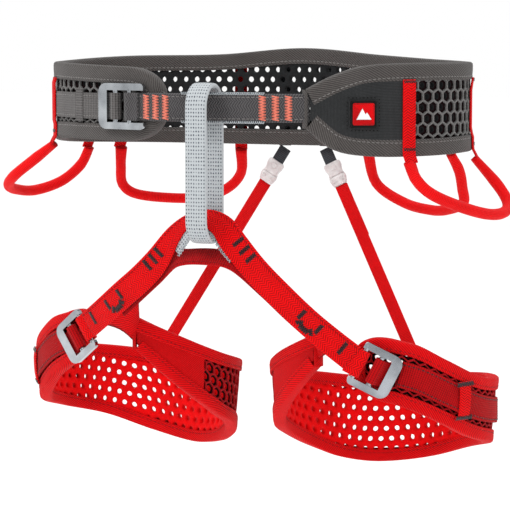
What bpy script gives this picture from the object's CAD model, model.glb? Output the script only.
"""Looks of the climbing harness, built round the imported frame. Shapes are drawn in millimetres."""
import math

import bmesh
import bpy
import numpy as np
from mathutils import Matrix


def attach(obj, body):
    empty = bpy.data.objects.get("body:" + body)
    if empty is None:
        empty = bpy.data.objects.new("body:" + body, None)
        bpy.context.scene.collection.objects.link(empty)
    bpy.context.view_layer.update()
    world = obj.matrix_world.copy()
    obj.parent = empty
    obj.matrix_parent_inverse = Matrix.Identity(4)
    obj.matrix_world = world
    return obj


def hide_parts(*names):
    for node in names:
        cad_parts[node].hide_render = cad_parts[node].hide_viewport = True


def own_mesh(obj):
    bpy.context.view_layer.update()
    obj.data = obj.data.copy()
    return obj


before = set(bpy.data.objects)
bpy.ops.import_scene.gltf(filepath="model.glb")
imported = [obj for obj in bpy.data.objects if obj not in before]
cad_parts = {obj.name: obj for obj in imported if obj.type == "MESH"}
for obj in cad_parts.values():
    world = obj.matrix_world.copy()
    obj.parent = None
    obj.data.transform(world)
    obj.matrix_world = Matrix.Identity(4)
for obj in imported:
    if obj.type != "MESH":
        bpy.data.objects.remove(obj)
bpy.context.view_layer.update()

# ---- Curves ----


def unit(v):
    v = np.asarray(v, float)
    return v / np.linalg.norm(v)


def smooth(table, x):
    """Smooth value at x through [(x, value)], as in the CAD source."""
    xs = [t[0] for t in table]
    ys = [np.asarray(t[1], float) for t in table]
    i = min(max(int(np.searchsorted(xs, x, side="right")) - 1, 0), len(xs) - 2)

    def slope(k):
        a, b = max(k - 1, 0), min(k + 1, len(xs) - 1)
        return (ys[b] - ys[a]) / (xs[b] - xs[a])

    h = xs[i + 1] - xs[i]
    t = (x - xs[i]) / h
    return (
        (2 * t**3 - 3 * t * t + 1) * ys[i]
        + (t**3 - 2 * t * t + t) * h * slope(i)
        + (3 * t * t - 2 * t**3) * ys[i + 1]
        + (t**3 - t * t) * h * slope(i + 1)
    )


def span(a, b, step):
    return np.linspace(a, b, max(2, int(abs(b - a) / step) + 1))


# ---- The belt's and the leg loops' surfaces ----

PAD, MESH, GAP, LAYER, WEB = 7.0, 2.0, 0.2, 1.6, 20.0
POWER = 2.4


class Belt:
    half_width, half_depth, forward = 161, 103, 5
    start, turn, end = 26, 334, 347.7
    end_z, end_h, tape = 1.5, 26.5, 12
    top = [(26, 13), (33, 22), (42, 29), (60, 31), (90, 31), (130, 32), (155, 35), (180, 40),
           (205, 35), (235, 34), (270, 31), (300, 30), (320, 29), (334, 28)]
    bottom = [(26, -14), (33, -28), (42, -33), (60, -34), (90, -33), (130, -34), (180, -36),
              (230, -34), (270, -31), (295, -26), (320, -25), (334, -25)]

    def at(self, p, out, z):
        t = math.radians(p)
        return np.array([(self.half_width + out) * math.sin(t),
                         -self.forward - (self.half_depth + out) * math.cos(t), z])

    def speed(self, p):
        t = math.radians(p)
        return math.hypot(self.half_width * math.cos(t), self.half_depth * math.sin(t)) * math.pi / 180

    def outward(self, p):
        t = math.radians(p)
        return unit([self.half_depth * math.sin(t), -self.half_width * math.cos(t), 0])

    def heading(self, p):
        t = math.radians(p)
        return unit([self.half_width * math.cos(t), self.half_depth * math.sin(t), 0])

    def rounding(self, p):
        return max(0.0, 1 - ((p - self.turn) / (self.end - self.turn)) ** POWER) ** (1 / POWER)

    def hi(self, p):
        return self.end_z + self.end_h * self.rounding(p) if p > self.turn else float(smooth(self.top, p))

    def lo(self, p):
        return self.end_z - self.end_h * self.rounding(p) if p > self.turn else float(smooth(self.bottom,
                p))

    def mid(self, p):
        return 0.0

    def edge(self):
        """The edge from the left front end along the bottom, round the right end and back along the top."""
        low = [(p, self.lo(p)) for p in span(self.start, self.turn, 2)]
        end = []
        for a in np.radians(np.arange(-85, 86, 5)):
            c, s = math.cos(a), math.sin(a)
            end.append((self.turn + (self.end - self.turn) * c ** (2 / POWER),
                        self.end_z + self.end_h * math.copysign(abs(s) ** (2 / POWER), s)))
        high = [(p, self.hi(p)) for p, _ in reversed(low)]
        return low + end + high


class Leg:
    long, short, apart, turned = 84.5, 73, 98, math.radians(20)
    round_at, end, tape, taper = 2, 322, 9, 0.1
    tops = {
        "left": [(2, -164), (15, -169), (30, -180), (50, -193), (70, -199), (110, -203), (150, -209),
                 (185, -213), (214, -208), (245, -200), (270, -191), (300, -175), (330, -157)],
        "right": [(2, -156), (15, -162), (30, -174), (50, -188), (70, -194), (110, -198), (150, -204),
                  (185, -208), (214, -203), (245, -195), (270, -186), (300, -170), (330, -152)]}
    bottoms = {
        "left": [(2, -210), (15, -217), (30, -227), (50, -239), (84, -250), (117, -260), (150, -273),
                 (180, -278), (204, -274), (224, -264), (248, -250), (270, -238), (300, -212),
                 (330, -176)],
        "right": [(2, -196), (15, -206), (30, -219), (50, -232), (84, -244), (117, -254), (150, -267),
                  (180, -273), (204, -269), (224, -259), (248, -245), (270, -233), (300, -207),
                  (330, -171)]}

    def __init__(self, side):
        self.right = side == "right"
        self.flip = np.array([-1.0, 1, 1]) if self.right else np.ones(3)
        self.top, self.bottom = self.tops[side], self.bottoms[side]
        self.start, self.rise = (-12, 0.6) if self.right else (-18, 0.25)
        hi, lo = float(smooth(self.top, 2)), float(smooth(self.bottom, 2))
        self.tip_z, self.tip_h = (hi + lo) / 2, (hi - lo) / 2

    def at(self, p, out, z):
        t = math.radians(p)
        o = out - self.taper * (math.hypot(z + 205, 20) - (z + 205)) / 2
        x, y = (self.long + o) * math.sin(t), -(self.short + o) * math.cos(t)
        c, s = math.cos(self.turned), math.sin(self.turned)
        apart = self.apart + (3.5 if self.right else 0)
        return np.array([apart + x * c - y * s, x * s + y * c, z]) * self.flip

    def speed(self, p):
        t = math.radians(p)
        return math.hypot(self.long * math.cos(t), self.short * math.sin(t)) * math.pi / 180

    def outward(self, p):
        return unit(self.at(p, 1, -200) - self.at(p, 0, -200))

    def rounding(self, p):
        return max(0.0, 1 - ((self.round_at - p) / (self.round_at - self.start)) ** POWER) ** (1 / POWER)

    def tip(self, p):
        return self.tip_z + (self.round_at - p) * self.rise

    def hi(self, p):
        return self.tip(p) + self.tip_h * self.rounding(p) if p < self.round_at else float(smooth(self.top, p))

    def lo(self, p):
        return self.tip(p) - self.tip_h * self.rounding(p) if p < self.round_at else float(smooth(self.bottom, p))

    def mid(self, p):
        return (self.hi(p) + self.lo(p)) / 2

    def edge(self):
        """The edge from the inner end along the top, round the outer end and back along the bottom."""
        high = [(p, self.hi(p)) for p in span(self.end, self.round_at, 2)]
        end = []
        for a in np.radians(np.arange(85, -86, -5)):
            c, s = math.cos(a), math.sin(a)
            p = self.round_at - (self.round_at - self.start) * c ** (2 / POWER)
            end.append((p, self.tip(p) + self.tip_h * math.copysign(abs(s) ** (2 / POWER), s)))
        low = [(p, self.lo(p)) for p, _ in reversed(high)]
        return high + end + low


belt = Belt()
legs = {"left": Leg("left"), "right": Leg("right")}

# ---- Materials ----


class Shade:
    """A material and the few kinds of node that it is made with."""

    def __init__(self, name, **values):
        self.material = bpy.data.materials.new(name)
        self.material.use_nodes = True
        self.tree = self.material.node_tree
        self.shader = self.tree.nodes["Principled BSDF"]
        for key, value in values.items():
            self.shader.inputs[key.replace("_", " ")].default_value = value
        self.coords = self.tree.nodes.new("ShaderNodeTexCoord")

    def node(self, kind, **settings):
        n = self.tree.nodes.new("ShaderNode" + kind)
        for key, value in settings.items():
            setattr(n, key, value)
        return n

    def link(self, a, b):
        if isinstance(a, (int, float)):
            b.default_value = a
        else:
            self.tree.links.new(a, b)

    def math(self, how, a, b, clamp=False):
        n = self.node("Math", operation=how, use_clamp=clamp)
        self.link(a, n.inputs[0])
        self.link(b, n.inputs[1])
        return n.outputs[0]

    def wave(self, period, turn=0.0, distortion=0.0, coords="UV"):
        """Bands of that period, in the coordinates' own unit, turned by so many degrees."""
        m = self.node("Mapping")
        m.inputs["Rotation"].default_value = (0, 0, math.radians(turn))
        self.link(self.coords.outputs[coords], m.inputs[0])
        w = self.node("TexWave", wave_profile="SIN")
        w.inputs["Scale"].default_value = 0.314 / period
        w.inputs["Distortion"].default_value = distortion
        w.inputs["Detail Scale"].default_value = 2.0
        self.link(m.outputs[0], w.inputs[0])
        return w.outputs["Fac"]

    def noise(self, scale, detail=3.0, coords="Object"):
        n = self.node("TexNoise")
        n.inputs["Scale"].default_value = scale
        n.inputs["Detail"].default_value = detail
        self.link(self.coords.outputs[coords], n.inputs[0])
        return n.outputs["Fac"]

    def ramp(self, value, colours):
        r = self.node("ValToRGB")
        e = r.color_ramp.elements
        while len(e) < len(colours):
            e.new(0.5)
        for k, (at, c) in enumerate(colours):
            e[k].position = at
            e[k].color = (*c, 1)
        self.link(value, r.inputs[0])
        return r.outputs[0]

    def colour(self, value, colours):
        self.link(self.ramp(value, colours), self.shader.inputs["Base Color"])

    def bump(self, height, distance, strength=1.0):
        b = self.node("Bump")
        b.inputs["Strength"].default_value = strength
        b.inputs["Distance"].default_value = distance
        self.link(height, b.inputs["Height"])
        self.link(b.outputs[0], self.shader.inputs["Normal"])


def shades(dark, light):
    """Linear colours from two sRGB ones given as 0 to 255."""
    def linear(c):
        return tuple((x / 255) ** 2.2 for x in c)
    return linear(dark), linear(light)


def cloth(name, dark, light, weave, period, rough=0.85, sheen=0.15, depth=0.0003, worn=0.35):
    """Woven cloth: bands of thread in UV millimetres, with fine and broad unevenness of colour."""
    s = Shade(name, Roughness=rough, Sheen_Weight=sheen, Specular_IOR_Level=0.12)
    lo, hi = shades(dark, light)
    if weave == "rib":          # cross ribs with the grain of the warp in them
        threads = s.math("ADD", s.math("MULTIPLY", s.wave(period), 0.65),
                         s.math("MULTIPLY", s.wave(period * 0.9, 90), 0.35))
    elif weave == "herringbone":
        left = s.wave(period, 35)
        right = s.wave(period, -35)
        stripe = s.math("GREATER_THAN", s.wave(6.5, 90), 0.5)
        threads = s.math("ADD", s.math("MULTIPLY", left, stripe),
                         s.math("MULTIPLY", right, s.math("SUBTRACT", 1.0, stripe)))
    elif weave == "twill":
        threads = s.wave(period, 55, 0.4)
    elif weave == "grid":
        threads = s.math("MULTIPLY", s.wave(period), s.wave(period, 90))
    else:                       # felt
        threads = s.noise(1400.0)
    fine = s.noise(900.0, 2.0)
    broad = s.noise(45.0, 4.0)
    uneven = s.math("MULTIPLY", s.math("ADD", fine, broad), worn)
    shade = s.math("ADD", s.math("MULTIPLY", threads, 1 - worn), uneven, clamp=True)
    s.colour(shade, [(0.15, lo), (0.85, hi)])
    s.bump(s.math("ADD", threads, s.math("MULTIPLY", fine, 0.5)), depth)
    return s.material


def speckled(name, pale, fleck):
    """Pale tape with dark flecks of a second thread in rows."""
    s = Shade(name, Roughness=0.8, Sheen_Weight=0.1, Specular_IOR_Level=0.3)
    flecks, ground = shades(fleck, pale)
    rows = s.math("MULTIPLY", s.wave(2.6), s.wave(1.9, 90))
    n = s.noise(650.0, 2.0)
    value = s.math("MULTIPLY", rows, n)
    s.colour(value, [(0.18, ground), (0.42, flecks)])
    s.bump(s.math("ADD", rows, n), 0.0003)
    return s.material


def metal(name, dark, light, rough):
    s = Shade(name, Metallic=1.0)
    lo, hi = shades(dark, light)
    s.colour(s.noise(60.0, 5.0), [(0.3, lo), (0.7, hi)])
    grain = s.math("MULTIPLY", s.noise(90.0), 0.08)
    s.link(s.math("ADD", grain, rough - 0.04), s.shader.inputs["Roughness"])
    s.bump(s.noise(40.0), 0.000002)
    return s.material


def plastic(name, dark, light, rough, **more):
    s = Shade(name, **more)
    lo, hi = shades(dark, light)
    s.colour(s.noise(200.0, 4.0), [(0.3, lo), (0.7, hi)])
    s.link(s.math("ADD", s.math("MULTIPLY", s.noise(700.0), 0.15), rough), s.shader.inputs["Roughness"])
    s.bump(s.noise(1500.0), 0.00006)
    return s.material


M = {
    "foam": cloth("black_foam", (12, 13, 14), (40, 41, 42), "felt", 1.0, 0.9, 0.05),
    "net": cloth("grey_net", (52, 52, 53), (138, 136, 134), "twill", 0.9, 0.8),
    "binding": cloth("charcoal_twill_tape", (34, 32, 31), (86, 82, 80), "twill", 1.5, depth=0.0004),
    "panel": cloth("dark_panel", (26, 27, 28), (56, 57, 58), "grid", 1.0, 0.8),
    "belt_web": cloth("grey_ribbed_webbing", (30, 29, 29), (98, 95, 94), "rib", 1.9, depth=0.0005),
    "tie_web": cloth("dark_tie_in_webbing", (26, 26, 28), (84, 82, 83), "herringbone", 1.6),
    "pale": speckled("pale_speckled_tape", (172, 177, 180), (62, 68, 78)),
    "orange": cloth("orange_thread", (190, 56, 40), (244, 140, 118), "rib", 0.7, 0.6, 0.2),
    "black": cloth("black_thread", (10, 6, 8), (48, 34, 38), "rib", 0.7, 0.6, 0.2),
    "grey": cloth("grey_thread", (60, 58, 58), (136, 132, 130), "rib", 0.7, 0.6, 0.2),
    "dark_web": cloth("black_webbing", (20, 21, 23), (68, 70, 74), "rib", 1.4),
    "red_web": cloth("red_webbing", (104, 0, 4), (232, 3, 14), "herringbone", 1.6, sheen=0.03,
                     depth=0.0004),
    "deep_web": cloth("deep_red_webbing", (64, 0, 5), (176, 3, 16), "rib", 1.7, sheen=0.03, depth=0.0004),
    "dark_back": cloth("dark_foam_back", (10, 6, 7), (30, 14, 16), "felt", 1.0, 0.95, 0.0),
    "red_foam": cloth("red_foam", (150, 0, 4), (236, 4, 14), "felt", 1.0, 0.85, 0.03),
    "red_net": cloth("red_net", (120, 0, 6), (214, 22, 34), "twill", 0.9, 0.75, 0.03),
    "red_tape": cloth("red_twill_tape", (118, 0, 5), (228, 4, 16), "twill", 1.4, sheen=0.03,
                      depth=0.0004),
    "thread": cloth("dull_red_thread", (88, 0, 4), (160, 16, 26), "rib", 0.7, 0.6, 0.03),
    "elastic": cloth("red_elastic", (120, 0, 6), (232, 4, 16), "rib", 1.2, 0.7, 0.03, depth=0.0004),
    "tube": cloth("red_tubular_webbing", (156, 0, 5), (236, 3, 14), "rib", 1.3, 0.65, 0.03, depth=0.0003),
    "metal": metal("polished_alloy", (136, 140, 144), (190, 194, 198), 0.12),
    "metal_dark": metal("polished_alloy_darker", (116, 119, 124), (176, 180, 186), 0.12),
    "clip": plastic("milky_plastic", (218, 208, 208), (244, 238, 237), 0.3,
                    Transmission_Weight=0.25, IOR=1.46, Coat_Weight=0.3),
    "patch": cloth("red_woven_patch", (176, 0, 8), (222, 12, 22), "grid", 0.8, sheen=0.03),
    "patch_edge": cloth("patch_border", (5, 5, 5), (20, 19, 19), "rib", 0.9),
    "white": cloth("white_thread", (206, 206, 206), (244, 244, 244), "rib", 0.8, 0.7),
}

# ---- Mesh building ----


class Build:
    """Collects points, faces, UVs and material numbers, and makes one piece of them."""

    def __init__(self):
        self.points, self.faces, self.uvs, self.kinds = [], [], [], []

    def grid(self, rows, us, vs, closed=False, kind=0, caps=False):
        """A surface through rows of points. us are the rows' and vs the columns' texture millimetres."""
        rows = np.asarray(rows, float)
        m, n = rows.shape[:2]
        base = len(self.points)
        self.points.extend(rows.reshape(-1, 3))
        for i in range(m - 1):
            for k in range(n if closed else n - 1):
                j = (k + 1) % n
                v1 = vs[k + 1] if k + 1 < len(vs) else vs[k] + 1
                self.faces.append((base + i * n + k, base + i * n + j, base + (i + 1) * n + j,
                        base + (i + 1) * n + k))
                self.uvs.append(((us[i], vs[k]), (us[i], v1), (us[i + 1], v1), (us[i + 1], vs[k])))
                self.kinds.append(kind)
        if caps:
            for i, order in ((0, range(n - 1, -1, -1)), (m - 1, range(n))):
                self.faces.append(tuple(base + i * n + k for k in order))
                self.uvs.append(tuple((us[i], vs[k]) for k in order))
                self.kinds.append(kind)

    def finish(self, name, materials, body, slot, instead=(), flat=False, merge=0.0):
        me = bpy.data.meshes.new(name)
        me.from_pydata([tuple(p * 0.001) for p in np.asarray(self.points)], [], self.faces)
        uv = me.uv_layers.new(name="UVMap")
        uv.data.foreach_set("uv", [x for f in self.uvs for c in f for x in c])
        me.polygons.foreach_set("material_index", self.kinds)
        for m in materials if isinstance(materials, list) else [materials]:
            me.materials.append(M[m])
        bm = bmesh.new()
        bm.from_mesh(me)
        if merge:
            bmesh.ops.remove_doubles(bm, verts=bm.verts, dist=merge * 0.001)
        bmesh.ops.recalc_face_normals(bm, faces=bm.faces)
        bm.to_mesh(me)
        bm.free()
        me.polygons.foreach_set("use_smooth", [not flat] * len(me.polygons))
        me.update()
        obj = bpy.data.objects.new(name, me)
        bpy.context.scene.collection.objects.link(obj)
        if body:
            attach(obj, body)
        if instead:
            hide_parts(*instead)
        return obj


class Track:
    """A line with, at each point, the direction of travel, the strap's width direction and its outward face."""

    def __init__(self, points, sides):
        p = np.asarray(points, float)
        d = np.gradient(p, axis=0)
        self.p = p
        self.d = d / np.linalg.norm(d, axis=1)[:, None]
        f = np.cross(self.d, np.asarray(sides, float))
        self.f = f / np.linalg.norm(f, axis=1)[:, None]
        self.w = np.cross(self.f, self.d)
        steps = np.linalg.norm(np.diff(p, axis=0), axis=1)
        self.s = np.concatenate([[0], np.cumsum(steps)])

    def at(self, s):
        def mix(a):
            return np.array([np.interp(s, self.s, a[:, k]) for k in range(3)])
        return mix(self.p), unit(mix(self.d)), unit(mix(self.w)), unit(mix(self.f))


def outward_track(t, outward=None):
    """Turns a track's faces to that side, or away from the track's own middle."""
    k = len(t.f) // 3
    if t.f[k] @ (t.p[k] - t.p.mean(axis=0) if outward is None else outward) < 0:
        t.f, t.w = -t.f, -t.w
    return t


def section(width, thick, crown=0.0):
    """Outline of a strap across its width: rounded edges, and a slight crown on its outward face."""
    r = thick / 2
    out = []
    for a in np.linspace(-1, 1, 7):
        out.append((a * (width / 2 - r), r + crown * (1 - a * a)))
    for a in (60, 30, 0, -30, -60):
        out.append((width / 2 - r + r * math.cos(math.radians(a)), r * math.sin(math.radians(a))))
    for a in np.linspace(1, -1, 7):
        out.append((a * (width / 2 - r), -r))
    for a in (240, 210, 180, 150, 120):
        out.append((-width / 2 + r + r * math.cos(math.radians(a)), r * math.sin(math.radians(a))))
    return out


def strap(build, track, width, thick, shift=0.0, lower=0.0, crown=0.15, kind=0, narrow=None):
    """narrow gives, at each point, the share of the width that is folded away from the lower edge."""
    outline = section(width, thick, crown)
    fold = [0.0] * len(track.p) if narrow is None else narrow
    rows = [[p + w * (a * (1 - n) + width / 2 * n - lower) + f * (b + shift) for a, b in outline]
            for p, w, f, n in zip(track.p, track.w, track.f, fold)]
    vs = [a for a, _ in outline] + [outline[0][0]]
    build.grid(rows, track.s, vs, closed=True, kind=kind, caps=True)


def stitch_row(build, track, offset, height, pitch=3.4, length=2.3, width=0.6, kind=0, begin=0.0,
               end=None):
    """A row of single stitches beside a line."""
    end = track.s[-1] if end is None else end
    s = begin + pitch / 2
    while s < end - pitch / 2:
        p, d, w, f = track.at(s)
        c = p + w * offset + f * height
        rows = [[c + d * u * length / 2 + w * v * width / 2 + f * h for u, v, h in row] for row in (
            [(-1, -1, 0), (-1, 1, 0)], [(-0.7, -1, 0.32), (-0.7, 1, 0.32)],
            [(0.7, -1, 0.32), (0.7, 1, 0.32)], [(1, -1, 0), (1, 1, 0)])]
        build.grid(rows, [0, 1, 2, 3], [0, 1], kind=kind)
        s += pitch


def zigzag(build, c, along, across, face, length, wide, step=0.85, thread=0.65, kind=0):
    """A bartack: thread back and forth over a narrow bar."""
    n = int(length / step)
    for i in range(n):
        a = c + along * (i * length / n - length / 2) + across * wide / 2 * (-1) ** i
        b = c + along * ((i + 1) * length / n - length / 2) - across * wide / 2 * (-1) ** i
        d = unit(b - a)
        w = np.cross(face, d) * thread / 2
        rows = [[a - w, a + w], [a + d * 0.3 - w + face * 0.4, a + d * 0.3 + w + face * 0.4],
                [b - d * 0.3 - w + face * 0.4, b - d * 0.3 + w + face * 0.4], [b - w, b + w]]
        build.grid(rows, [0, 1, wide, wide + 1], [0, 1], kind=kind)


def ring_tube(build, points, radius, squeeze=None, sides=14, kind=0):
    p = np.asarray(points, float)
    d = np.gradient(p, axis=0)
    d /= np.linalg.norm(d, axis=1)[:, None]
    rows, s = [], [0.0]
    for i in range(len(p)):
        u = unit(np.cross(d[i], (0.03, 0.05, 1)))
        v = np.cross(d[i], u)
        k = squeeze[i] if squeeze is not None else 1.0
        rows.append([p[i] + radius * (u * math.cos(a) / math.sqrt(k) + v * math.sin(a) * k)
                     for a in np.linspace(0, 2 * math.pi, sides, endpoint=False)])
        if i:
            s.append(s[-1] + float(np.linalg.norm(p[i] - p[i - 1])))
    vs = [2 * math.pi * radius * k / sides for k in range(sides + 1)]
    build.grid(rows, s, vs, closed=True, kind=kind, caps=True)


# ---- Perforated foam, net and edge tape ----

# Distance between cells along a row, and between rows
PITCH, ROW = 9.0, 7.8
# Riser webbing: its width, where the elastic starts below the hinge, and how far the clip opens
RISER_W, STRAP_FROM, CLIP_TRAVEL = 10, 31.4, 16


def cells(surface, inset):
    """Centres of the honeycomb's cells as (arc length, height over the middle line), and the angle at a length."""
    angles = np.arange(surface.start, surface.end + 0.5, 0.5)
    points = np.array([surface.at(p, 0, surface.mid(p)) for p in angles])
    lengths = np.concatenate([[0], np.cumsum(np.linalg.norm(np.diff(points, axis=0), axis=1))])

    def angle(s):
        return float(np.interp(s, lengths, angles))
    found = []
    for row in range(-5, 6):
        s = 5.0 + (row % 2) * PITCH / 2
        while s < lengths[-1] - 4:
            p = angle(s)
            z = surface.mid(p) + row * ROW
            if surface.lo(p) + inset < z < surface.hi(p) - inset:
                found.append((s, row * ROW))
            s += PITCH
    return found, angle


def honeycomb(surface, inner, outer, opening, rib, inset, hexagonal):
    """A sheet of hexagonal cells, each with an opening through it and a low rib round it on the outer side."""
    b = Build()
    found, angle = cells(surface, inset)
    corners = [(4.5 * x, 5.196 * y) for x, y in ((0, 1), (1, 0.5), (1, -0.5), (0, -1), (-1, -0.5),
            (-1, 0.5))]
    hexagon = []
    for k in range(6):
        q, r = np.array(corners[k]), np.array(corners[(k + 1) % 6])
        hexagon += [q, (q + r) / 2]
    circle = [opening * np.array([math.sin(math.radians(30 * k)),
            math.cos(math.radians(30 * k))]) for k in range(12)]
    hole = [q * opening / 5.0 for q in hexagon] if hexagonal else circle
    rings = [(hexagon, inner), (hole, inner), (hole, outer), ([q * 0.9 for q in hexagon], outer),
             (hexagon, outer + rib)]
    if hexagonal:
        rings = [(hexagon, inner), (hole, inner), (hole, outer), ([(q + h) / 2 for q,
                h in zip(hexagon, hole)], outer + rib),
                 (hexagon, outer + rib)]
    us, vs = [0, 3, 5, 7, 8], [k * 2.6 for k in range(13)]
    for s, v in found:
        rows = []
        for ring, out in rings:
            row = []
            for x, y in ring:
                p = angle(s + x)
                row.append(surface.at(p, out, surface.mid(p) + v + y))
            rows.append(row)
        b.grid(rows[:3], us[:3], vs, closed=True)
        b.grid(rows[2:], us[2:], vs, closed=True, kind=0 if hexagonal else 1)
    return b


def edge_track(surface, path, w, out):
    """Track at w mm inside the edge path, on the surface at that distance outward."""
    points, sides = [], []
    for i in range(len(path)):
        a, c = path[max(i - 1, 0)], path[min(i + 1, len(path) - 1)]
        s = surface.speed(path[i][0])
        d = unit([(c[0] - a[0]) * s, c[1] - a[1]])
        points.append(surface.at(path[i][0] - d[1] * w / s, out, path[i][1] + d[0] * w))
        sides.append(surface.outward(path[i][0]))
    return points, sides


def edge_tape(name, surface, material, thread, body, slot, node):
    """Binding folded over the edge, with a stitched line near its inner border on both faces."""
    path = surface.edge()
    w = surface.tape
    profile = [(w, 0.0), (w - 0.1, 1.0), (w - 1.2, 1.35), (w - 2.4, 1.15), (w * 0.5, 1.45), (2.5, 1.5),
               (0.7, 1.2),
               (-0.1, 0.2), (-0.4, -PAD / 2), (-0.1, -PAD - 0.2), (0.7, -PAD - 1.1), (2.5, -PAD - 1.4),
               (w * 0.5, -PAD - 1.35),
               (w - 2.4, -PAD - 1.1), (w - 1.2, -PAD - 1.3), (w - 0.1, -PAD - 1.0), (w, -PAD)]
    columns = [edge_track(surface, path, a, o)[0] for a, o in profile]
    rows = np.transpose(np.array(columns), (1, 0, 2))
    lengths = np.concatenate([[0], np.cumsum(np.linalg.norm(np.diff(rows[:, 8], axis=0), axis=1))])
    vs = np.concatenate([[0], np.cumsum([math.dist(profile[k],
            profile[k + 1]) for k in range(len(profile) - 1)])])
    b = Build()
    b.grid(rows, lengths, list(vs))
    for out, sign in ((1.05, 1), (-PAD - 1.05, -1)):
        points, sides = edge_track(surface, path, w - 2.4, out)
        t = Track(points, np.cross(np.array(sides) * sign, np.gradient(np.array(points), axis=0)))
        stitch_row(b, t, 0, 0, kind=1)
    if surface is belt:
        end_cap(b, belt, 26.3, -1.2)
    else:
        end_cap(b, surface, surface.end - 0.3, 2.2)
    return b.finish(name, [material, thread], body, slot, [node])


def end_cap(build, surface, at, bulge):
    """A rounded fold of binding that closes the padding's end."""
    rows = []
    for z in np.linspace(surface.lo(at) + 0.5, surface.hi(at) - 0.5, 9):
        rows.append([surface.at(at + bulge * math.cos(a), -PAD / 2 + (PAD / 2 + 1.35) * math.sin(a), z)
                     for a in np.radians(span(-90, 90, 15))])
    build.grid(rows, [4 * k for k in range(9)], [1.4 * k for k in range(len(rows[0]))])


def shown(node, material, bevel=0.4):
    """A rigid CAD node keeps its shape, with softened edges and its own material."""
    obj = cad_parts[node]
    obj.data.materials.clear()
    obj.data.materials.append(M[material])
    m = obj.modifiers.new("soft_edges", "BEVEL")
    m.width = bevel * 0.001
    m.segments = 3
    m.limit_method = "ANGLE"
    m.angle_limit = math.radians(35)
    m.harden_normals = False
    return obj


# ---- Waist belt ----

foam = honeycomb(belt, -PAD, -MESH - GAP, 2.25, 0.0, 5.5, False).finish(
    "belt_foam_perforated", ["foam", "dark_back"], "waist", "inner_foam", ["belt_foam"], merge=0.05)
honeycomb(belt, -MESH, -0.7, 4.2, 0.45, 5.5, True).finish(
    "belt_net", "net", "waist", "belt_mesh", ["belt_mesh"], merge=0.05)
edge_tape("belt_binding", belt, "binding", "grey", "waist", "belt_tape", "belt_edge_tape")

b = Build()
columns = list(span(27, 54, 1.5))
heights = np.linspace(0, 1, 8)
rows = [[belt.at(p, 1.0 + 0.5 * math.sin(math.pi * k) * math.sin(math.pi * (p - 27) / 27) ** 2,
                 (belt.lo(p) + 8) * (1 - k) + (belt.hi(p) - 8) * k) for k in heights] for p in columns]
b.grid(rows, [2.6 * (p - 27) for p in columns], [45 * k for k in heights])
panel = b.finish("side_panel_cloth", "panel", "waist", "side_panel", ["side_panel"])
# Flat size: along the middle of the panel, and up its tallest column
along = np.linalg.norm(np.diff([row[4] for row in rows], axis=0), axis=1).sum() * 0.001


def belt_track(a, c, out, z=0.0, step=1.5):
    """Along the belt; the outline's width direction points up."""
    ps = span(a, c, step)
    outs = [out(p) if callable(out) else out for p in ps]
    return Track([belt.at(p, o, z) for p, o in zip(ps, outs)], [(0, 0, 1)] * len(ps))


def upright(p, pairs, surface=belt):
    """Up or down the belt at one angle, through (outward, height) pairs."""
    points = [surface.at(p, o, z) for o, z in pairs]
    along = surface.at(p + 0.5, 0, 0) - surface.at(p - 0.5, 0, 0)
    down = points[-1][2] < points[0][2]
    return Track(points, [-along if down else along] * len(points))


def webbing_out(p):
    return float(smooth([(-24, 4.8), (-9, 4.8), (9, 0), (27, 0)], p))


b = Build()
t = belt_track(-19.8, 27, lambda p: webbing_out(p) - LAYER)
strap(b, t, WEB, 2 * LAYER)
for offset in (-7.6, 7.6):
    stitch_row(b, t, offset, LAYER + 0.1, kind=1)
b.finish("tie_in_webbing", ["tie_web", "grey"], "waist", "belt_webbing", ["waist_webbing"])

b = Build()
t = belt_track(-6, 15, lambda p: webbing_out(p) - 2 * LAYER - 0.6, step=1)
strap(b, t, WEB + 1.6, 0.8)
for z in (-WEB / 2, WEB / 2):
    t = belt_track(-6, 15, webbing_out, z, 1)
    for s in np.arange(1, t.s[-1], 3.0):
        p, d, w, f = t.at(s)
        zigzag(b, p + f * 0.1, d, w, f, 3.0, 1.7, 0.75, 0.75)
b.finish("tie_in_protector_edges", "pale", "waist", "pale_webbing", ["tie_in_protector"])

b = Build()
for p in (-16.1, -13.3, -10.5, 14.6, 18, 21.4):
    zigzag(b, belt.at(p, webbing_out(p) + 0.15, 0), np.array([0, 0, 1.0]), belt.heading(p),
           belt.outward(p), 17, 5.2, 0.95, 0.9)
b.finish("waist_bartack_threads", "orange", "waist", "bartack_orange", ["waist_bartacks"])

b = Build()
t = belt_track(258, 331, 1.2, -0.5, 2)
strap(b, t, 19, LAYER)
for offset in (-7.2, 7.2):
    stitch_row(b, t, offset, LAYER / 2 + 0.1, kind=1)
t = upright(-29 + 360 - 14, [(2.3, -12), (2.5, 0), (2.3, 12)])
strap(b, t, 9, 1)
b.finish("waist_adjust_tape", ["belt_web", "grey"], "waist", "belt_webbing", ["waist_adjust_webbing"])

b = Build()
for p in (174, 186):
    hi = belt.hi(p) - 13
    strap(b, upright(p, [(1.8, hi), (2.0, 10), (2.0, -20), (1.9, -34), (1.2, -37)]), 10, 1.2)
    for z in (hi - 3, hi - 8):
        zigzag(b, belt.at(p, 2.8, z), belt.heading(p), np.array([0, 0, 1.0]), belt.outward(p), 8, 2,
               kind=1)
b.finish("riser_anchor_tapes", ["dark_web", "grey"], "waist", "black_webbing", ["riser_anchors"])

# The patch with its border, dashed square and a plain peak
PATCH_P, PATCH_Z = 41.5, -4


def on_patch(x, y, h):
    return belt.at(PATCH_P, 1.6 + h, PATCH_Z + y) + belt.heading(PATCH_P) * x


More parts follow.
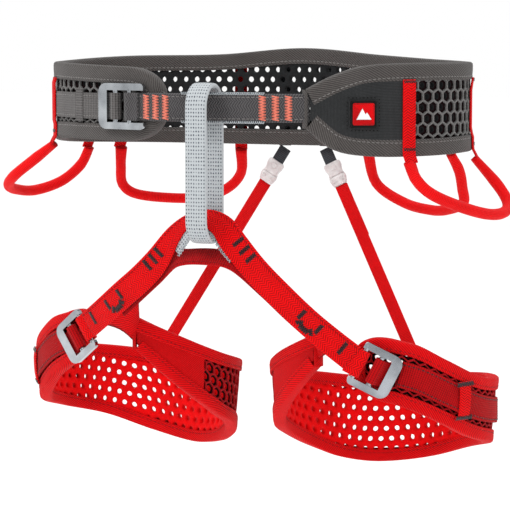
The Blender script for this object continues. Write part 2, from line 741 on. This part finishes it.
b = Build()
for size, h, kind in ((9.7, 0.0, 1), (7.7, 0.75, 0)):
    rows = []
    for k, lift in ((1.0, 0.0), (1.0, h * 0.5 + 0.5), (0.94, h * 0.5 + 0.8)):
        rows.append([on_patch(size * k * x, size * k * y, lift) for x, y in (
            (-1, -0.9), (-0.9, -1), (0.9, -1), (1, -0.9), (1, 0.9), (0.9, 1), (-0.9, 1), (-1, 0.9))])
    b.grid(rows, [0, 1, 2], [k * 4.0 for k in range(9)], closed=True, kind=kind, caps=True)
for k in range(4):
    a = k * math.pi / 2
    c, s = math.cos(a), math.sin(a)
    line = [on_patch(11.4 * (c * u - s), 11.4 * (s * u + c), 0.0) for u in (-1, 0, 1)]
    t = Track(line, [belt.heading(PATCH_P) * -s + np.array([0, 0, c])] * 3)
    f = t.f * np.sign(t.f[0] @ belt.outward(PATCH_P))
    t.f = f
    stitch_row(b, t, 0, 0, 2.6, 1.7, 0.6, kind=1)
b.finish("patch", ["patch", "patch_edge", "white"], "waist", "badge", ["badge_patch"], flat=True)
b = Build()
outline = [(-5.4, -3.8), (5.4, -3.8), (2.2, 1.2), (1.0, -0.1), (-1.2, 4.0)]
b.grid([[on_patch(x * k, y * k, h) for x, y in outline] for k, h in ((1, 1.2), (1, 1.55), (0.9, 1.7))],
       [0, 1, 2], [3.0 * k for k in range(6)], closed=True, caps=True)
b.finish("patch_peak", "white", "waist", "badge_peak", ["badge_peak"], flat=True)

# ---- Gear loops ----

GEAR = {
    "front_left": (56, 97, [(0, (0, 0, 0)), (0.12, (-0.05, 9, 11)), (0.25, (0.03, 18, 21)),
        (0.4, (0.33, 26, 31)),
        (0.55, (0.68, 31, 38)), (0.67, (0.93, 31, 38)), (0.78, (1.08, 26, 32)),
        (0.88, (1.1, 16, 20)), (1, (1, 0, 0))]),
    "front_right": (296, 252, [(0, (0, 0, 0)), (0.13, (0.02, 18, 13)), (0.27, (0.1, 36, 25)),
        (0.4, (0.28, 46, 32)),
        (0.52, (0.5, 46, 35)), (0.66, (0.75, 38, 35)), (0.8, (0.96, 22, 27)),
        (0.9, (1.02, 8, 14)), (1, (1, 0, 0))]),
    "back_left": (127, 161, [(0, (0, 0, 0)), (0.12, (-0.02, 8, 13)), (0.25, (0.02, 16, 27)),
        (0.38, (0.08, 23, 39)),
        (0.5, (0.3, 26, 45)), (0.62, (0.5, 27, 46)), (0.76, (0.8, 24, 41)),
        (0.88, (1.05, 15, 26)), (1, (1, 0, 0))]),
    "back_right": (238, 199, [(0, (0, 0, 0)), (0.14, (0, 9, 16)), (0.27, (0.02, 18, 31)),
        (0.38, (0.14, 22, 39)),
        (0.5, (0.43, 24, 42)), (0.62, (0.68, 24, 41)), (0.75, (0.89, 20, 34)),
        (0.88, (1.01, 12, 20)), (1, (1, 0, 0))]),
}
for name, (p0, p1, outline) in GEAR.items():
    first, last = (belt.at(p, 3, belt.lo(p) - 4.8) for p in (p0, p1))
    chord = last - first
    side = unit(np.cross(chord, (0, 0, 1 if p0 < 180 else -1)))
    points, squeeze = [], []
    for i in range(61):
        q = smooth(outline, i / 60)
        points.append(first + chord * q[0] + side * q[1] - np.array([0, 0, q[2]]))
        e = min(i, 60 - i) / 6
        squeeze.append(1.0 if e > 1 else 0.72 + 0.28 * e)
    b = Build()
    ring_tube(b, points, 4.1, squeeze)
    b.finish("gear_loop_tube_" + name, "tube", "gear_loop_" + name, "gear_tube", ["gear_loop_" + name])
    b = Build()
    for p in (p0, p1):
        lo, hi = belt.lo(p), belt.hi(p) - 11
        flat = 2.9 if p0 > 258 else 2.1 if p == 56 else 0.5
        over = 2.2
        strap(b, upright(p, [(1.9, hi), (1.2 if flat < 1 else flat, hi - 4), (flat, hi - 9), (flat, 0),
                (flat, lo + 17),
                (max(flat, 1.2), lo + 13), (over, lo + 10), (over, lo + 5),
                (over + 0.3, lo + 1),
                (over + 2.2, lo - 2.5), (over + 3.2, lo - 4.5)]), 10, 1.3)
        for z, o in ((hi - 1.5, 2.4), (lo + 5, over + 0.75)):
            zigzag(b, belt.at(p, o, z), belt.heading(p), np.array([0, 0, 1.0]), belt.outward(p), 9, 2.2,
                   kind=1)
    b.finish("gear_strap_web_" + name, ["red_web", "black"], "waist", "red_webbing",
             ["gear_strap_" + name])

# ---- Buckles ----


class Place:
    """Local axes of a buckle: x along the webbing, y across it and z outward."""

    def __init__(self, origin, along, outward):
        self.o = np.asarray(origin, float)
        self.x = unit(along)
        z = np.asarray(outward, float)
        self.z = unit(z - (z @ self.x) * self.x)
        self.y = np.cross(self.z, self.x)

    def mirrored(self):
        m = Place(self.o, self.x, self.z)
        flip = np.array([-1.0, 1, 1])
        m.o, m.x, m.y, m.z = self.o * flip, self.x * flip, self.y * flip, self.z * flip
        return m

    def track(self, pairs, steps=4):
        """Through (x, z) pairs, smoothed."""
        table = [(k, p) for k, p in enumerate(pairs)]
        pts = [smooth(table, t) for t in np.linspace(0, len(pairs) - 1, (len(pairs) - 1) * steps + 1)]
        return Track([self.o + self.x * x + self.z * z for x, z in pts], [self.y] * len(pts))


FOLD = [(-9, 1.2), (-5, 1.7), (-2, 2.6), (0, 3.0), (2.1, 2.1), (3.0, 0), (2.1, -2.1), (0, -3.0),
        (-3, -2.9)]
WRAP = [(22, -1.9), (19, -1.6), (16.2, 0.2), (14.6, 2.3), (12.5, 3.1), (10.4, 2.3), (9.3, 0),
        (10.2, -2.4), (12.5, -3.3), (16, -3.5)]


def webbing_round_bars(name, place, ends, materials, fold_slot, wrap_slot, width):
    b = Build()
    strap(b, place.track(FOLD), width, LAYER)
    b.finish(name + "_fold_web", materials[0], ends[0], fold_slot, [ends[2]])
    b = Build()
    strap(b, place.track(WRAP), width - 1, LAYER - 0.3, crown=0.0)
    b.finish(name + "_wrap_web", materials[1], ends[1], wrap_slot, [ends[3]])


waist_place = Place(belt.at(-21.5, 4.8, 0), -belt.heading(-24), belt.outward(-24))
webbing_round_bars("waist", waist_place, ("waist", "waist_slider", "waist_webbing_fold",
        "waist_webbing_wrap"),
                   ("tie_web", "belt_web"), "belt_webbing", "belt_webbing", WEB)
for node in ("waist_buckle_frame", "waist_buckle_slider"):
    shown(node, "metal", 0.7 if "frame" in node else 0.3)

# ---- Belay loop ----

b = Build()
outline = [(15.8 * math.cos(a), 15.8 * math.sin(a)) for a in np.radians(span(90, 0, 6))]
outline += [(15.8, z) for z in span(-8, -70, 8)]
outline += [(15.8 * math.cos(a), 15.8 * math.sin(a) - 78) for a in np.radians(span(0, -180, 6))]
outline += [(-15.8, z) for z in span(-70, -8, 8)]
outline += [(15.8 * math.cos(a), 15.8 * math.sin(a)) for a in np.radians(span(180, 90, 6))]
t = outward_track(Track([(0, -112 + y, z) for y, z in outline], [(1, 0, 0)] * len(outline)))
strap(b, t, 16, 3.4, crown=0.2)
b.finish("belay_loop_webbing", ["pale", "grey"], "belay", "pale_webbing", ["belay_loop"])
b = Build()
for z in (-54, -16):
    for k in (0, 1):
        zigzag(b, np.array([0, -112 + 17.7, z + 3 * k]), np.array([1.0, 0, 0]), np.array([0, 0, 1.0]),
               np.array([0, 1.0, 0]), 12, 2.6)
b.finish("belay_bartack_threads", ["black", "grey"], "belay", "bartack_black", ["belay_bartacks"])

# ---- Bridge ----

BRIDGE = {
    "left": [(0.00, (0, -112, -79), (0, 0.74, 0.67)), (0.09, (12, -111.5, -83.5), (0.3, 0.6, 0.75)),
             (0.18, (21, -110, -95), (0.75, 0.25, 0.75)), (0.32, (36, -107.5, -113), (0.9, 0, 0.85)),
             (0.50, (54, -103, -132), (0.85, 0, 0.85)), (0.68, (71, -97.5, -149), (0.8, 0, 0.8)),
             (0.84, (86, -91, -163), (0.65, 0.05, 0.85)), (1.00, (100.5, -83.5, -176), (0.5, 0.1, 0.85))],
    "right": [(0.00, (0, -112, -79), (0, 0.74, 0.67)), (0.09, (12, -111.5, -83), (0.3, 0.6, 0.75)),
              (0.19, (23, -110.5, -93), (0.75, 0.25, 0.75)), (0.34, (37, -108.5, -109), (0.85, 0, 0.9)),
              (0.50, (52, -106, -123), (0.7, 0, 0.8)), (0.68, (70, -101, -137), (0.65, 0, 0.85)),
              (0.84, (87, -94, -150), (0.6, 0.05, 0.85)), (1.00, (104.5, -84.5, -162.5),
                      (0.6, 0.1, 0.85))]}
CROSS = {
    "left": [(0.00, (0, -107, -105.5), (0, 0.8, 0.6)), (0.20, (16, -106.5, -107), (0.05, 0.8, 0.6)),
             (0.36, (28, -104.5, -112), (0.5, 0.5, 0.7)), (0.56, (43, -100.5, -126), (0.85, 0.1, 0.8)),
             (0.78, (60, -94.5, -143.5), (0.8, 0, 0.8)), (1.00, (74, -89, -157), (0.75, 0, 0.8))],
    "right": [(0.00, (0, -107, -105.5), (0, 0.8, 0.6)), (0.20, (17, -106.5, -106.5), (0.05, 0.8, 0.6)),
              (0.36, (30, -104.5, -110), (0.5, 0.5, 0.7)), (0.56, (46, -101.5, -122), (0.7, 0.1, 0.8)),
              (0.78, (62, -97, -135), (0.65, 0, 0.85)), (1.00, (77, -91, -147), (0.65, 0, 0.85))]}


def both_ways(two):
    flip = np.array([-1.0, 1, 1])
    right = [((1 - t) / 2, np.array(p) * flip, np.array(w) * flip) for t, p,
             w in reversed(two["right"][1:])]
    return right + [((1 + t) / 2, np.array(p, float), np.array(w, float)) for t, p, w in two["left"]]


def along_stations(stations, a, c, n):
    ts = np.linspace(a, c, n)
    points = [smooth([(s[0], s[1]) for s in stations], t) for t in ts]
    return Track(points, [unit(smooth([(s[0], s[2]) for s in stations], t)) for t in ts])


bridge = both_ways(BRIDGE)
b = Build()
t = along_stations(bridge, 0, 1, 121)
shares = np.linspace(-1, 1, 121)
strap(b, t, WEB, LAYER, narrow=[(0.42 if q < 0 else 0.2) * math.exp(-((q + 0.08) / 0.2) ** 2) for q in shares])
stitch_row(b, t, 7.8, LAYER / 2 + 0.1, kind=1)
b.finish("bridge_web", ["red_web", "thread"], "legs", "red_webbing", ["bridge_webbing"])
b = Build()
t = along_stations(both_ways(CROSS), 0, 1, 91)
strap(b, t, 17, LAYER)
for offset in (-6.4, 6.4):
    stitch_row(b, t, offset, LAYER / 2 + 0.1, kind=1)
b.finish("bridge_cross_web", ["deep_web", "thread"], "legs", "dark_red_webbing", ["bridge_cross_strap"])
b = Build()
t = along_stations(bridge, 0.38, 0.62, 41)
strap(b, t, WEB - 6, 1.0, shift=-LAYER + 0.1, lower=2.5)
for s in np.arange(1, t.s[-1] - 1, 3.0):
    p, d, w, f = t.at(s)
    zigzag(b, p - w * WEB / 2 + f * 0.1, d, w, f, 3.0, 2.0, 0.8, 0.75)
b.finish("bridge_protector_tape", "pale", "legs", "pale_webbing", ["bridge_protector"])

# ---- Leg loops ----


def leg_track(leg, a, c, out, step=2):
    ps = span(a, c, step)
    return Track([leg.at(p, out, leg.mid(p)) for p in ps], [(0, 0, 1)] * len(ps))


for side, leg in legs.items():
    m = -1 if leg.right else 1
    tag = "_" + side
    pad = honeycomb(leg, -PAD, -MESH - GAP, 2.25, 0.0, 5.0, False).finish(
        "leg_foam_perforated" + tag, ["red_foam", "dark_back"], "legs", "leg_foam", ["leg_foam" + tag],
        merge=0.05)
    honeycomb(leg, -MESH, -0.7, 4.2, 0.45, 5.0, True).finish(
        "leg_net" + tag, "red_net", "legs", "leg_mesh", ["leg_mesh" + tag], merge=0.05)
    edge_tape("leg_binding" + tag, leg, "red_tape", "thread", "legs", "red_tape", "leg_edge_tape" + tag)

    b = Build()
    t = outward_track(leg_track(leg, 5, 99, 1.3), leg.outward(54))
    strap(b, t, 19, LAYER)
    for offset in (-7.2, 7.2):
        stitch_row(b, t, offset, LAYER / 2 + 0.1, kind=1)
    for s in (t.s[-1] - 6, t.s[-1] - 12):
        p, d, w, f = t.at(s)
        zigzag(b, p + f * 0.9, w, d, f, 15, 2.4, kind=1)
    b.finish("leg_adjust_tape" + tag, ["deep_web", "black"], "legs", "dark_red_webbing",
             ["leg_adjust_webbing" + tag])

    b = Build()
    mid = leg.mid(40)
    t = outward_track(upright(40, [(1.6, mid + 14), (2.6, mid + 11.5), (3.3, mid + 6), (3.4, mid),
            (3.3, mid - 6),
            (2.6, mid - 11.5), (1.6, mid - 14)], leg), leg.outward(40))
    strap(b, t, 10.5, 1.2)
    for s in (2.0, t.s[-1] - 2.0):
        p, d, w, f = t.at(s)
        zigzag(b, p + f * 0.7, w, d, f, 15, 3.2, 0.8, 0.9, kind=1)
    b.finish("leg_keeper_web" + tag, ["red_web", "black"], "legs", "red_webbing", ["leg_keeper" + tag])

    # Plain cloth over the padding's inner end, and the tongue from there to the bridge
    ends = [[(67, -86.5, -154), (89, -79.5, -173)], [(55, -97, -129), (92, -83, -162)]][leg.right]
    hi = leg.at(leg.end - 2, -2.5, leg.hi(leg.end) - 2)
    lo = leg.at(leg.end - 2, -2.5, leg.lo(leg.end) + 2)
    far = [np.array(q) * leg.flip for q in ends]
    b = Build()
    normal = unit(np.cross(far[0] - hi, lo - hi))
    for k, face in ((0, 0.8), (1, -0.8)):
        rows = []
        for u in np.linspace(0, 1, 9):
            a, c = hi + (far[0] - hi) * u, lo + (far[1] - lo) * u
            pinch = 0.10 * math.sin(math.pi * u)
            rows.append([a + (c - a) * (pinch + (1 - 2 * pinch) * v) + normal * face * (1 - (2 * v - 1) ** 8)
                         for v in np.linspace(0, 1, 9)])
        b.grid(rows, np.linspace(0, 22, 9), np.linspace(0, 30, 9))
    columns = span(282, leg.end - 1, 2)
    b.grid([[leg.at(q, 0.1 + 0.4 * math.sin(math.pi * v), (leg.lo(q) + 6) * (1 - v) + (leg.hi(q) - 6) * v)
             for v in np.linspace(0, 1, 7)] for q in columns], [1.4 * q for q in columns],
             [30 * v for v in np.linspace(0, 1, 7)])
    b.finish("leg_gusset_web" + tag, "red_tape", "legs", "red_webbing", ["leg_gusset" + tag], merge=0.05)

    b = Build()
    stations = [(t, np.array(p) * leg.flip, np.array(w) * leg.flip) for t, p, w in BRIDGE[side]]
    t = outward_track(along_stations(stations, 0, 1, 81), np.array([0, -1.0, 0]))
    up = 1 if t.w[40][2] > 0 else -1
    total = t.s[-1]
    for share in (0.20, 0.25, 0.30):
        p, d, w, f = t.at((share + (0.12 if leg.right else 0)) * total)
        zigzag(b, p + w * up * 3.5 + f * 0.9, w, d, f, 9, 3.2, 0.8, 0.9)
    for share, wide, off in ((0.67, 8, 1.5), (0.78, 8, 1.5), (0.93, 10, 1.5)):
        p, d, w, f = t.at(share * total)
        zigzag(b, p + w * up * off + f * 0.9, w, d, f, wide, 3.2, 0.75, 0.9)
    p, d, w, f = t.at(0.725 * total)
    for side_x in (-1, 1):
        corner = p - w * up * 4.0 + d * 5.2 * side_x + f * 0.9
        zigzag(b, corner, unit(d - w * up * side_x), unit(w * up + d * side_x), f, 5, 3.2, 0.75, 0.9)
    zigzag(b, p - w * up * 5.6 + f * 0.9, d, w, f, 8, 4.4, 0.75, 0.9)
    b.finish("leg_bartack_threads" + tag, "black", "legs", "bartack_black", ["leg_bartacks" + tag])

    origin = [(105, -80, -180), (109, -80, -166)][leg.right]
    along = [(0.84, 0.30, -0.45), (0.745, 0.29, -0.60)][leg.right]
    place = Place(origin, along, (0.30, -0.954, 0))
    if leg.right:
        place = place.mirrored()
    webbing_round_bars("leg" + tag, place, ("legs", "leg_slider" + tag, "leg_webbing_fold" + tag,
            "leg_webbing_wrap" + tag),
                       ("red_web", "deep_web"), "red_webbing", "dark_red_webbing", WEB)
    for node in ("leg_buckle_frame" + tag, "leg_buckle_slider" + tag):
        shown(node, "metal" if leg.right else "metal_dark", 0.7 if "frame" in node else 0.3)

    # Risers, straight down from their hinge line
    top = np.array([m * 17, 99, -39.5])
    foot = np.array([107, 79, -219] if m > 0 else [-122, 79, -214], float)
    length = float(np.linalg.norm(foot - top))
    down = unit(foot - top)
    body = "riser" + tag
    face = unit(np.cross(down, (1, 0, 0)))
    face = face if face[1] > 0 else -face
    across = np.cross(face, down)

    def riser(a, c, width, thick, material, name, body_name, slot, node, lift=0.0, wavy=0.0):
        n = 40
        s = np.linspace(a, c, n)
        pts = [top + down * x + face * (lift + wavy * math.sin(x / 9)) for x in s]
        tr = outward_track(Track(pts, [across] * n), face)
        bb = Build()
        strap(bb, tr, width, thick)
        for offset in (-width / 2 + 2, width / 2 - 2):
            stitch_row(bb, tr, offset, thick / 2 + 0.15, 3.0, 2.0, 0.45, kind=1)
        return bb.finish(name, material, body_name, slot, [node])

    riser(-0.5, 14, RISER_W, 2.2, ["dark_web", "grey"], "riser_tab_web" + tag, body, "black_webbing",
          "riser_tab" + tag)
    elastic = riser(STRAP_FROM, length + 3, RISER_W, 1.6, ["elastic", "thread"], "riser_elastic" + tag,
                    body, "red_elastic", "riser_strap" + tag)
    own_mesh(elastic)
    riser(STRAP_FROM + 0.2, 76, RISER_W, 1.5, ["elastic", "thread"], "riser_tail_web" + tag, "clip" + tag,
          "red_elastic", "riser_tail" + tag, 1.8, 0.15)
    def clip(widths, holes):
        """A moulded clip half: rounded sections of changing width along the riser, with raised marks."""
        bb = Build()
        rows = [[top + down * s + across * x + face * y for x, y in section(w, h, 0.3)] for s, w,
                h in widths]
        n = len(rows[0])
        bb.grid(rows, [q[0] for q in widths], [0.6 * k for k in range(n + 1)], closed=True, caps=True)
        for sign in (1, -1):
            for s, x, long, wide in holes:
                mark = []
                for k, lift in ((1.0, 2.5), (0.92, 3.05), (0.7, 3.05), (0.6, 2.75), (0.1, 2.75)):
                    mark.append([top + down * (s + long * k * math.sin(a)) + across * (x + wide * k * math.cos(a)) + face * lift * sign
                            for a in np.linspace(0, 2 * math.pi, 16, endpoint=False)])
                bb.grid(mark, [0, 1, 2, 3, 4], [0.5 * k for k in range(17)], closed=True, caps=True)
        return bb

    socket = clip([(11.8, 11, 3.6), (12.2, 13, 4.8), (13.5, 14.4, 5.2), (16, 14.5, 5.3), (19, 12.6, 5.3),
            (21.5, 12.4, 5.2), (22.6, 13.4, 5.0), (23.0, 12.8, 4.4)],
            [(16.5, 0, 2.6, 3.4)])
    socket.finish("riser_clip_socket" + tag, "clip", body, "clip", ["riser_socket" + tag])
    plug = clip([(23.2, 12.8, 4.2), (23.6, 14.0, 5.0), (26, 14.5, 5.3), (28.5, 13.4, 5.2),
            (30.4, 12.0, 4.6),
            (31.2, 11.2, 3.4)], [(27, -3.2, 1.6, 1.7),
            (27, 3.2, 1.6, 1.7)])
    for x in (-3.6, 3.6):
        rows = [[top + down * s + across * (x + k * a) + face * b2 for a, b2 in section(2.6, 2.2, 0)]
                for s, k in ((17.0, 0.4), (17.6, 1.0), (20, 1.0), (24.5, 1.0))]
        plug.grid(rows, [0, 1, 3, 8], [0.4 * k for k in range(len(rows[0]) + 1)], closed=True, caps=True)
    plug.finish("riser_clip_plug" + tag, "clip", "clip" + tag, "clip", ["riser_plug" + tag])

# ---- Room, lights and camera ----

s = Shade("pale_floor", Roughness=0.9, Specular_IOR_Level=0.1)
s.colour(s.noise(3.0), [(0.3, (0.93, 0.93, 0.93)), (0.7, (0.96, 0.96, 0.96))])
s.shader.inputs["Emission Color"].default_value = (1, 1, 1, 1)
s.shader.inputs["Emission Strength"].default_value = 0.09
bpy.ops.mesh.primitive_plane_add(size=30, location=(0, 5, -0.62))
floor = bpy.context.object
floor.name = "floor"
floor.data.materials.append(s.material)

# Dark cards give the polished metal something to reflect; nothing else sees them
s = Shade("dark_card", Roughness=1.0)
s.colour(s.noise(2.0), [(0.3, (0.015, 0.015, 0.015)), (0.7, (0.03, 0.03, 0.03))])
for k, (place, turn, size) in enumerate((((1.5, -2.2, -0.5), (80, 0, 30), 1.3),
        ((-1.6, -2.0, 0.1), (90, 0, -40), 0.9),
                                         ((0.3, -2.4, 0.9), (120, 0, 5), 0.7))):
    bpy.ops.mesh.primitive_plane_add(size=size, location=place, rotation=[math.radians(a) for a in turn])
    card = bpy.context.object
    card.name = f"dark_card_{k}"
    card.data.materials.append(s.material)
    card.visible_camera = card.visible_diffuse = card.visible_shadow = card.visible_transmission = False

world = bpy.data.worlds.new("studio")
bpy.context.scene.world = world
world.use_nodes = True
world.node_tree.nodes["Background"].inputs["Color"].default_value = (1, 1, 1, 1)
world.node_tree.nodes["Background"].inputs["Strength"].default_value = 1.0


def lamp(name, place, energy, size):
    data = bpy.data.lights.new(name, "AREA")
    data.energy, data.size = energy, size
    o = bpy.data.objects.new(name, data)
    bpy.context.scene.collection.objects.link(o)
    o.location = place
    o.visible_camera = False
    aim(o, (0, 0, -0.12))


def aim(o, target):
    from mathutils import Vector
    o.rotation_euler = (Vector(target) - Vector(o.location)).to_track_quat("-Z", "Y").to_euler()


lamp("key", (-0.9, -1.5, 1.5), 20, 0.6)
lamp("fill", (1.6, -1.2, 0.3), 4, 1.0)
lamp("top", (0.1, 0.5, 2.0), 10, 1.0)

data = bpy.data.cameras.new("camera")
data.lens, data.sensor_width, data.clip_end = 149.1, 36, 60
camera = bpy.data.objects.new("camera", data)
bpy.context.scene.collection.objects.link(camera)
AZIMUTH, ELEVATION, DISTANCE = math.radians(21), math.radians(6), 1.6
TARGET_X, TARGET_Z = -0.005, -0.115
flat = DISTANCE * math.cos(ELEVATION)
camera.location = (TARGET_X + flat * math.sin(AZIMUTH), -flat * math.cos(AZIMUTH),
                   TARGET_Z + DISTANCE * math.sin(ELEVATION))
aim(camera, (TARGET_X, 0, TARGET_Z))
bpy.context.scene.camera = camera
bpy.context.scene.view_settings.view_transform = "Standard"
